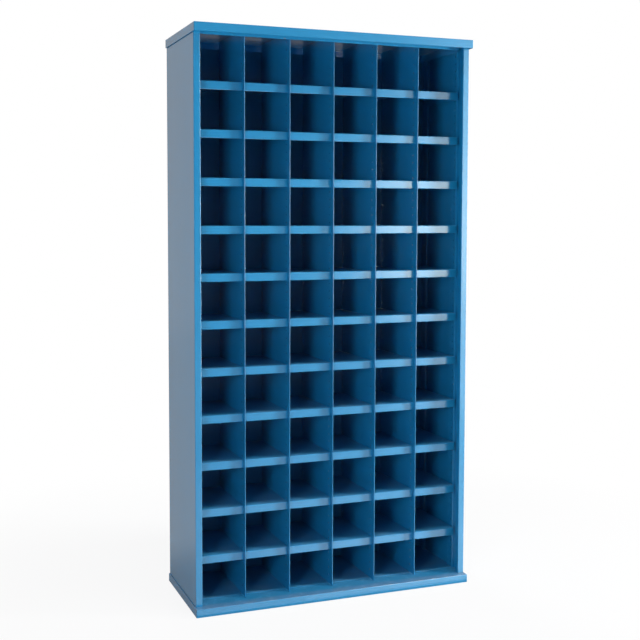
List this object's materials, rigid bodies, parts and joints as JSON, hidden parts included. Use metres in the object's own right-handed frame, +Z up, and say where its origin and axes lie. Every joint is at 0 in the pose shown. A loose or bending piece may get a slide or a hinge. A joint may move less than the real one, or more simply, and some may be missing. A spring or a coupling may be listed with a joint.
{
  "type": "bin cabinet",
  "caption": "Tall open-fronted sheet-steel bin cabinet in glossy blue enamel, with perforated dividers, lipped shelves, a flanged cap and a flanged base.",
  "frame": {"origin": "on the floor, at the centre of the bounding box's underside", "axes": "+Z up along the height, +X to the right as seen from the front, +Y to the back; the open front faces -Y"},
  "size_m": [0.956, 0.3698, 1.838],
  "materials": {
    "carcass_enamel": "gloss enamel",
    "upright_enamel": "gloss enamel",
    "divider_enamel": "gloss enamel",
    "shelf_enamel": "gloss enamel"
  },
  "bodies": {
    "root": {"base_tray": "carcass_enamel", "top_cap": "carcass_enamel", "left_side_panel": "carcass_enamel", "right_side_panel": "carcass_enamel", "back_panel": "carcass_enamel", "top_panel": "carcass_enamel", "left_front_upright": "upright_enamel", "left_rear_upright": "upright_enamel", "right_front_upright": "upright_enamel", "right_rear_upright": "upright_enamel", "divider_1": "divider_enamel", "divider_2": "divider_enamel", "divider_3": "divider_enamel", "divider_4": "divider_enamel", "divider_5": "divider_enamel", "shelf_01": "shelf_enamel", "shelf_02": "shelf_enamel", "shelf_03": "shelf_enamel", "shelf_04": "shelf_enamel", "shelf_05": "shelf_enamel", "shelf_06": "shelf_enamel", "shelf_07": "shelf_enamel", "shelf_08": "shelf_enamel", "shelf_09": "shelf_enamel", "shelf_10": "shelf_enamel", "shelf_11": "shelf_enamel", "bottom_shelf": "shelf_enamel"}
  },
  "joints": []
}
